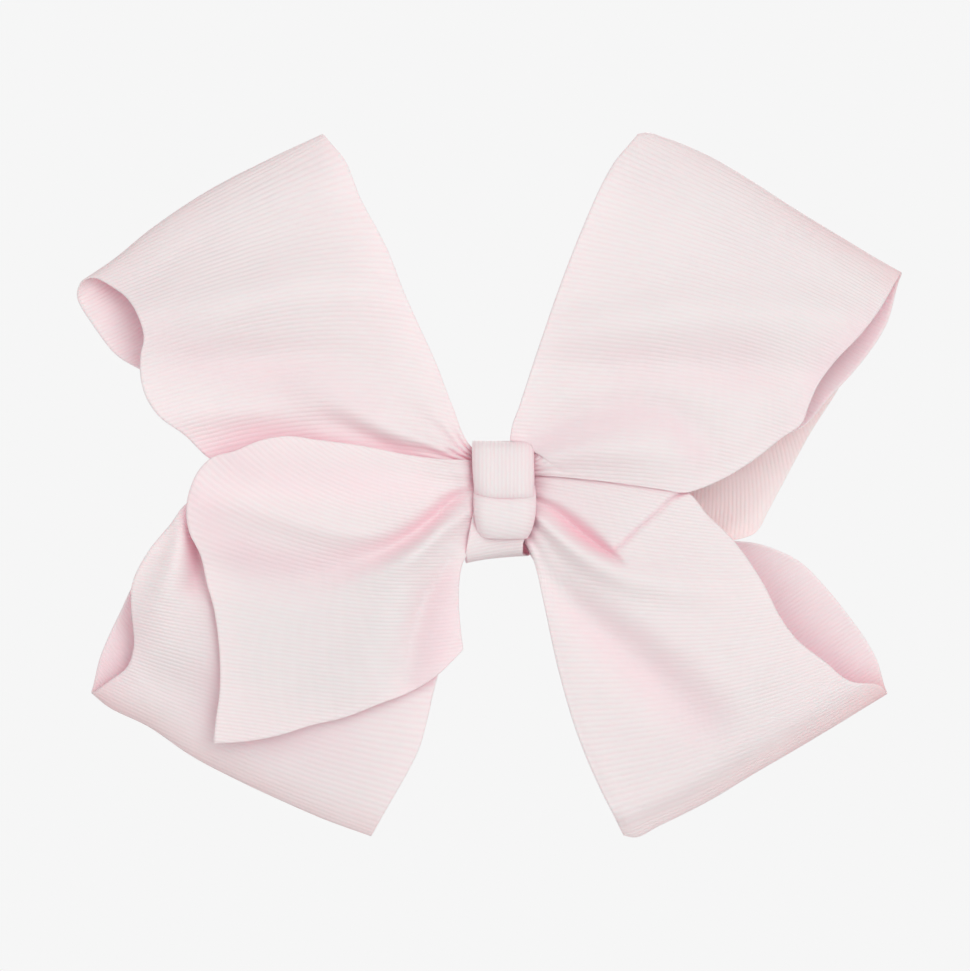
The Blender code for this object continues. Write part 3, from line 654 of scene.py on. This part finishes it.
def grosgrain(name, light, shade_colour, rib_height, glow):
    """Ribbed ribbon: rounded ribs, a thread-fine grain across them and a soft sheen."""
    look, nodes, links, shader = new_material(name)
    calc = partial(math_node, nodes, links)
    ribs, rib, along = uv_place(nodes, links, "ribs")
    place = object_place(nodes)

    # The ribs waver a little, and their crests are broader than their grooves.
    shift = calc("MULTIPLY", noise(nodes, links, ribs, 0.12, dimensions="2D"), 0.25)
    phase = calc("MULTIPLY", calc("ADD", rib, shift), 2 * math.pi)
    wave = calc("MULTIPLY_ADD", calc("COSINE", phase), 0.5, 0.5)
    rounded = calc("POWER", wave, 0.6)

    # Yarns cross the ribs, which stand out more in some places than in others.
    stretch = nodes.new("ShaderNodeCombineXYZ")
    links.new(calc("MULTIPLY", rib, 1.6), stretch.inputs["X"])
    links.new(calc("MULTIPLY", along, 3.2), stretch.inputs["Y"])
    yarn = noise(nodes, links, stretch.outputs[0], 1.0, 3.0, "2D")
    crisp = calc("MULTIPLY_ADD", noise(nodes, links, place, 90.0), 1.5, 0.15)
    height = calc("MULTIPLY", calc("ADD", rounded, calc("MULTIPLY", yarn, 0.35)), crisp)
    add_bump(nodes, links, shader, height, rib_height * MM)

    # Painted shade: the colour deepens towards the shade colour in recesses, as far as ambient
    # occlusion finds them, and in the grooves between the ribs; it is also softly mottled at random.
    mottle = noise(nodes, links, place, 55.0, 4.0)
    recess = nodes.new("ShaderNodeAmbientOcclusion")
    recess.samples = 8
    recess.inputs["Distance"].default_value = 24 * MM
    recess_shade = calc("POWER", calc("SUBTRACT", 1.0, recess.outputs["AO"]), 1.2)
    tone = calc("MULTIPLY_ADD", mottle, 0.12, recess_shade)
    groove_shade = calc("MULTIPLY", calc("SUBTRACT", 1.0, rounded), 0.12)
    shown = blend(nodes, links, calc("ADD", tone, groove_shade), (*light, 1), (*shade_colour, 1))

    # Painted shade on top: a deeper pink along the folds, and a pink shade along pleats, valleys
    # and shadowed parts, both a little uneven.
    uneven = calc("MULTIPLY_ADD", mottle, 0.8, 0.5)
    weights = uv_place(nodes, links, "tints")[1:]
    for weight, tint in zip(weights, (FOLD_SHADE_COLOUR, PINK_SHADE_COLOUR)):
        shown = blend(nodes, links, calc("MULTIPLY", weight, uneven), shown, (*tint, 1))
    links.new(shown, shader.inputs["Base Color"])

    links.new(calc("MULTIPLY_ADD", yarn, 0.2, 0.5), shader.inputs["Roughness"])
    shader.inputs["Sheen Weight"].default_value = 0.15
    shader.inputs["Sheen Roughness"].default_value = 0.4
    shader.inputs["Specular IOR Level"].default_value = 0.25
    shader.inputs["Subsurface Weight"].default_value = glow
    shader.inputs["Subsurface Radius"].default_value = (1.0, 0.6, 0.65)
    shader.inputs["Subsurface Scale"].default_value = 1.5 * MM
    return look


def plain_fibre(name, tint):
    """Spun thread: fine fibres, slightly uneven in colour."""
    look, nodes, links, shader = new_material(name)
    fibre = noise(nodes, links, object_place(nodes), 4000.0, 4.0)
    darker = [c * 0.8 for c in tint]
    colour = blend(nodes, links, fibre, (*tint, 1), (*darker, 1))
    links.new(colour, shader.inputs["Base Color"])
    add_bump(nodes, links, shader, fibre, 0.02 * MM)
    shader.inputs["Roughness"].default_value = 0.7
    shader.inputs["Sheen Weight"].default_value = 0.3
    return look


def clear_glue(name):
    """Dried glue: milky, smooth and a little wavy."""
    look, nodes, links, shader = new_material(name)
    cloud = noise(nodes, links, object_place(nodes), 500.0)
    colour = blend(nodes, links, cloud, (0.86, 0.84, 0.78, 1), (0.78, 0.75, 0.67, 1))
    links.new(colour, shader.inputs["Base Color"])
    add_bump(nodes, links, shader, cloud, 0.1 * MM)
    shader.inputs["Roughness"].default_value = 0.25
    shader.inputs["Transmission Weight"].default_value = 0.3
    return look


def brushed_metal(name, colour, roughness, scratch):
    """Plated steel: fine brushed lines along X, and a cloudy shine."""
    look, nodes, links, shader = new_material(name)
    calc = partial(math_node, nodes, links)
    place = object_place(nodes)
    stretch = nodes.new("ShaderNodeMapping")
    stretch.inputs["Scale"].default_value = (60, 2200, 2200)
    links.new(place, stretch.inputs["Vector"])
    lines = noise(nodes, links, stretch.outputs[0], 1.0, 5.0)
    cloud = noise(nodes, links, place, 240.0)
    spread = calc("MULTIPLY_ADD", lines, 0.16, roughness)
    worn = calc("MULTIPLY", cloud, 0.18)
    links.new(calc("ADD", spread, worn), shader.inputs["Roughness"])
    add_bump(nodes, links, shader, lines, 0.02 * MM, scratch)
    darker = [c * 0.82 for c in colour]
    tint = blend(nodes, links, cloud, (*colour, 1), (*darker, 1))
    links.new(tint, shader.inputs["Base Color"])
    shader.inputs["Metallic"].default_value = 1.0
    return look


# ---------------------------------------------------------------- stage


def aim(obj, target):
    """Turn a camera or a light towards a point."""
    obj.rotation_mode = "QUATERNION"
    obj.rotation_quaternion = (Vector(target) - obj.location).to_track_quat("-Z", "Y")


def make_camera():
    x, z, d = LOOK_AT
    target = Vector((x * MM, -d * MM, z * MM))
    data = bpy.data.cameras.new("camera")
    data.sensor_width = SENSOR
    data.lens = SENSOR * CAMERA_DISTANCE / VIEW_WIDTH
    data.clip_start, data.clip_end = 0.1, 20
    camera = bpy.data.objects.new("camera", data)
    bpy.context.scene.collection.objects.link(camera)
    camera.location = target - Vector((0, CAMERA_DISTANCE, 0))
    aim(camera, target)
    bpy.context.scene.camera = camera


def area_light(name, place, side, power, colour):
    data = bpy.data.lights.new(name, "AREA")
    data.shape = "RECTANGLE"
    data.size = data.size_y = side
    data.energy = power
    data.color = colour
    lamp = bpy.data.objects.new(name, data)
    bpy.context.scene.collection.objects.link(lamp)
    lamp.location = place
    aim(lamp, (0, 0, 0))


def make_world(scene):
    """A plain backdrop for the camera, and a slightly warm fill for everything else."""
    world = bpy.data.worlds.new("studio")
    scene.world = world
    world.use_nodes = True
    nodes, links = world.node_tree.nodes, world.node_tree.links
    backdrop = nodes["Background"]
    backdrop.inputs["Color"].default_value = BACKDROP
    fill = nodes.new("ShaderNodeBackground")
    fill.inputs["Color"].default_value = FILL
    fill.inputs["Strength"].default_value = FILL_STRENGTH
    path = nodes.new("ShaderNodeLightPath")
    mix = nodes.new("ShaderNodeMixShader")
    links.new(path.outputs["Is Camera Ray"], mix.inputs[0])
    links.new(fill.outputs[0], mix.inputs[1])
    links.new(backdrop.outputs[0], mix.inputs[2])
    links.new(mix.outputs[0], nodes["World Output"].inputs[0])


def make_stage():
    scene = bpy.context.scene
    scene.view_settings.view_transform = "Standard"
    make_world(scene)
    for light in LIGHTS:
        area_light(*light)

    look, nodes, links, shader = new_material("floor_paper")
    shader.inputs["Roughness"].default_value = 0.9
    grain = noise(nodes, links, None, 300.0)
    tone = blend(nodes, links, grain, (0.80, 0.80, 0.80, 1), (0.83, 0.83, 0.83, 1))
    links.new(tone, shader.inputs["Base Color"])
    half, low = FLOOR_HALF / MM, FLOOR_Z / MM
    corners = [(-half, low, half), (half, low, half), (half, low, -half), (-half, low, -half)]
    new_object("floor", corners, [(0, 1, 2, 3)], look)


# ---------------------------------------------------------------- the bow


def stand_for(piece, node):
    """Let a piece ride on the bow and take the place of its CAD node."""
    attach(piece, "bow")
    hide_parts(node)


def declare(piece, node):
    """The same for a piece of cloth."""
    stand_for(piece, node)


# The knot's folds, as profiles of (z, d) from the top round to the bottom edge. "left" and
# "right" are where each side stands at the top and at the bottom. "slope" lifts the lower left
# corner, "crown" is how far the sides fall back, and "tuck" is the depth behind which the fold
# goes back only on its left.
KNOT_UPPER = {
    "profile": [(14.3, 11.6), (14.7, 14.5), (14.65, 17.4), (13.5, 19.9), (10.8, 21.6), (7, 22.5),
                (3.4, 22.6), (1.5, 22.0), (0.7, 21.2), (1.0, 20.4)],
    "left": (-7.7, -7.2),
    "right": (7.0, 7.3),
    "slope": 0.035,
    "crown": 2.4,
    "tuck": 17.4,
}
KNOT_LOWER = {
    "profile": [(3.6, 19.4), (2.0, 20.4), (-0.5, 21.2), (-3.5, 21.6), (-6.6, 21.2), (-8.6, 20.0),
                (-9.6, 18.9)],
    "left": (-7.4, -6.1),
    "right": (7.7, 5.6),
    "slope": 0.02,
    "crown": 2.4,
    "tuck": 0.0,
}
KNOT_THICKNESS = 0.6
LINING_THICKNESS = 0.4


def knot_fold(name, shape, tilt, look):
    """One fold of the knot, swept from left to right, its edges falling back a little."""
    rows, columns = 90, 90
    across = np.linspace(0, 1, columns)[None, :]
    profile = spline([(z, d, 0) for z, d in shape["profile"]], rows)
    down = np.linspace(0, 1, rows)[:, None]
    bulge = 0.35 * np.sin(np.pi * down)
    low = shape["left"][0] + (shape["left"][1] - shape["left"][0]) * down**2 - bulge
    high = shape["right"][0] + (shape["right"][1] - shape["right"][0]) * down**3 + bulge
    x = low + (high - low) * across
    z = profile[:, 0:1] + shape["slope"] * np.clip(-x - 1, 0, None) ** 2 * down**2
    behind = np.clip(shape["tuck"] - profile[:, 1:2], 0, None)
    right = np.clip((x + 2.5) / 2.5, 0, 1)
    d = profile[:, 1:2] + behind * 0.97 * right * right * (3 - 2 * right)
    d = d - shape["crown"] * np.abs(2 * across - 1) ** 5
    d = d + 0.12 * np.sin(9 * across + 3 * down) * np.sin(np.pi * down)
    grid = np.stack([x, z, d], axis=2)
    rib = math.cos(tilt) * x + math.sin(tilt) * z
    return cloth(name, grid, rib, look, KNOT_THICKNESS)


def ring_section(offset, count):
    """Points (z, d) round the waist's rounded section, `offset` outside it."""
    points = []
    for k in range(count):
        angle = 2 * math.pi * k / count - math.pi / 2
        c, s = math.cos(angle), math.sin(angle)
        up = math.copysign(abs(s) ** WAIST_ROUNDNESS, s)
        forward = math.copysign(abs(c) ** WAIST_ROUNDNESS, c)
        z = WAIST_MIDDLE[0] + (WAIST_HALF[0] + offset) * up
        points.append((z, WAIST_MIDDLE[1] + (WAIST_HALF[1] + offset) * forward))
    return points


def centre_band(look):
    """The narrow ribbon that closes round the waist; in front it slips to the viewer's left."""
    rows, columns = 150, 50
    section = ring_section(BAND_OFFSET, rows)
    section = np.array([*section, section[0]])
    section = spline([(z, d, 0) for z, d in section], rows)
    across = np.linspace(-1, 1, columns)[None, :]
    z, d = section[:, 0:1], section[:, 1:2]
    slip = np.clip((-z - 2) / 11, 0, 1) * np.clip((d - 5) / 5, 0, 1)
    x = across * (7.5 - 0.4 * slip) - 2.5 * slip
    lift = slip * (1.2 + 0.16 * x + 0.25 * np.cos(np.pi * across / 2))
    grid = np.stack([x, z + lift, d + 0 * x], axis=2)
    length = arc_lengths(grid)
    return cloth("centre_band_ribbon", grid[:-1], length[:-1], look, KNOT_THICKNESS)


def closed_tube(name, rings, look):
    """Rings of points joined into a closed tube with pointed-in ends."""
    count, around = rings.shape[:2]
    points = rings.reshape(-1, 3).tolist()
    faces = []
    for i in range(count - 1):
        for k in range(around):
            a, b = i * around + k, i * around + (k + 1) % around
            faces.append((a, b, b + around, a + around))
    for end, first in ((0, 0), (1, (count - 1) * around)):
        points.append(rings[-end].mean(axis=0).tolist())
        middle = len(points) - 1
        faces += [(first + k, first + (k + 1) % around, middle) for k in range(around)]
    obj = new_object(name, points, faces, look)
    face_outwards(obj)
    obj.data.shade_smooth()
    return obj


def gathered_waist(look):
    """The ribbons' gathered middle under the band: a bundle with pleats that nearly close up."""
    stations, around = 41, 540
    section = np.array(ring_section(PLEAT_OFFSET, around))
    middle = np.array(WAIST_MIDDLE, float)
    turn = np.linspace(0, 2 * math.pi, around, endpoint=False)
    rings = []
    for along in np.linspace(-1, 1, stations):
        wander = 0.5 * math.sin(2.2 * along + 0.4)
        pleat = np.abs(np.sin(15 * turn + wander + 0.5 * np.sin(4 * turn))) ** 0.7
        waisted = 0.3 * (1 - along * along)
        scale = 1 + (0.75 * (pleat - 1) - waisted) / np.linalg.norm(section - middle, axis=1)
        ring = middle + (section - middle) * scale[:, None]
        rings.append(np.column_stack([np.full(around, 4.2 * along), ring]))
    return closed_tube("gathered_waist_pleats", np.array(rings), look)


def waist_thread(look):
    """Two-ply thread wound round the waist, its plies twisted into each other."""
    turns, per_turn, sides = 4, 300, 14
    pitch, twist_pitch = 1.3, 1.6
    radius, ply = 0.22, 0.07
    loop = np.array(ring_section(THREAD_OFFSET, per_turn))
    path = []
    for k in range(turns * per_turn + 1):
        z, d = loop[k % per_turn]
        path.append((pitch * (k / per_turn - turns / 2), z, d))
    path = np.array(path)
    tangents = np.gradient(path, axis=0)
    tangents /= np.linalg.norm(tangents, axis=1, keepdims=True)
    run = np.concatenate([[0], np.cumsum(np.linalg.norm(np.diff(path, axis=0), axis=1))])
    side = np.array((1.0, 0.0, 0.0))
    rings = []
    for centre, tangent, reached in zip(path, tangents, run):
        side = side - tangent * side.dot(tangent)
        side /= np.linalg.norm(side)
        other = np.cross(tangent, side)
        twist = 2 * math.pi * reached / twist_pitch
        ring = []
        for k in range(sides):
            angle = 2 * math.pi * k / sides
            out = radius + ply * math.cos(2 * (angle - twist))
            ring.append(centre + out * (math.cos(angle) * side + math.sin(angle) * other))
        rings.append(ring)
    return closed_tube("waist_thread_winding", np.array(rings), look)


def clip_lining(look):
    """The strip of grosgrain laid along the clip's plate."""
    rows, columns = 160, 40
    outline = [(-28.5, 2.2), (-25, 2.9), (-22, 3.3), (-14, 4.0), (-6, 4.6), (10, 4.6), (29.2, 4.6)]
    edge = spline([(x, half, 0) for x, half in outline], rows)
    across = np.linspace(-1, 1, columns)[None, :]
    x = edge[:, 0:1] + 0 * across
    z = edge[:, 1:2] * across
    d = 2.25 + 0.05 * np.sin(0.9 * x) * np.cos(2 * across)
    return cloth("clip_lining_grosgrain", np.stack([x, z, d], axis=2), x, look, LINING_THICKNESS)


def glue_bead(look):
    """Dried glue between the lining and the bow, squeezed out into an uneven round edge."""
    rings_count, around = 24, 160
    turn = np.linspace(0, 2 * math.pi, around, endpoint=False)
    ragged = 1 + 0.035 * np.sin(5 * turn + 1) + 0.03 * np.sin(9 * turn + 2.3)
    ragged += 0.015 * np.sin(17 * turn)
    rim, closing = 1.2, math.pi / 2 - 0.05
    rings = []
    for angle in np.linspace(-closing, closing, rings_count):
        if abs(angle) < rim:
            spread = 0.95 + 0.05 * math.cos(angle)
        else:
            spread = 0.95 * math.cos(angle) / math.cos(rim)
        x = 11 * spread * ragged * np.cos(turn)
        z = 3.6 * spread * ragged * np.sin(turn)
        rings.append(np.column_stack([x, z, np.full(around, 3.2 + 0.38 * math.sin(angle))]))
    return closed_tube("glue_bead", np.array(rings), look)


def make_ribbons(ribbon, lit_ribbon):
    """The wide ribbon's loops and tails, the knot and the clip's lining."""
    for side, shape in (("upper_left", UPPER_LEFT), ("upper_right", UPPER_RIGHT),
                        ("lower_left", LOWER_LEFT), ("lower_right", LOWER_RIGHT)):
        loop = ribbon_loop("grosgrain_loop_" + side, shape, ribbon)
        declare(loop, "ribbon_loop_" + side)
    for side, shape, look, rows, length, area in (
        ("left", LEFT_TAIL, ribbon, LEFT_TAIL_ROWS, 0.14, 0.0066),
        ("right", RIGHT_TAIL, lit_ribbon, RIGHT_TAIL_ROWS, 0.085, 0.005),
    ):
        tail = ribbon_tail("grosgrain_tail_" + side, shape, look, rows)
        declare(tail, "ribbon_tail_" + side)

    for level, shape, tilt, length in (("upper", KNOT_UPPER, 0, 0.023), ("lower", KNOT_LOWER, 78, 0.015)):
        knot = knot_fold(f"knot_{level}_ribbon", shape, math.radians(tilt), ribbon)
        declare(knot, f"knot_{level}_fold")
    band = centre_band(ribbon)
    declare(band, "centre_band")
    lining = clip_lining(ribbon)
    declare(lining, "clip_lining_ribbon")


def main():
    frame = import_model()
    # The ribbon's own colour, then the deeper pink painted into its recesses and grooves as shade. The right
    # tail lies in shade behind the loops; it gets a copy of the material with a lighter colour and a paler
    # painted shade, which paints light onto it.
    ribbon = grosgrain("pink_grosgrain", (0.950, 0.896, 0.886), (0.985, 0.58, 0.66), 0.085, 0.4)
    lit_ribbon = grosgrain("pink_grosgrain_painted_lit", (0.98, 0.90, 0.88), (0.985, 0.76, 0.74),
                           0.08, 0.5)
    thread = plain_fibre("pink_thread", (0.90, 0.70, 0.73))
    glue = clear_glue("clear_glue")
    metal = brushed_metal("nickel_steel", (0.72, 0.72, 0.72), 0.22, 0.5)
    wire = brushed_metal("spring_wire", (0.62, 0.62, 0.63), 0.28, 0.4)

    make_ribbons(ribbon, lit_ribbon)
    stand_for(gathered_waist(ribbon), "gathered_waist")
    stand_for(waist_thread(thread), "waist_thread")
    stand_for(glue_bead(glue), "glue_pad")
    for node, look in (("clip_plate", metal), ("clip_jaw", metal), ("clip_hinge_pin", metal),
                       ("clip_spring_coil", wire), ("clip_spring_leg", wire)):
        for spot in frame["nodes"][node].material_slots:
            spot.material = look

    make_camera()
    make_stage()


main()
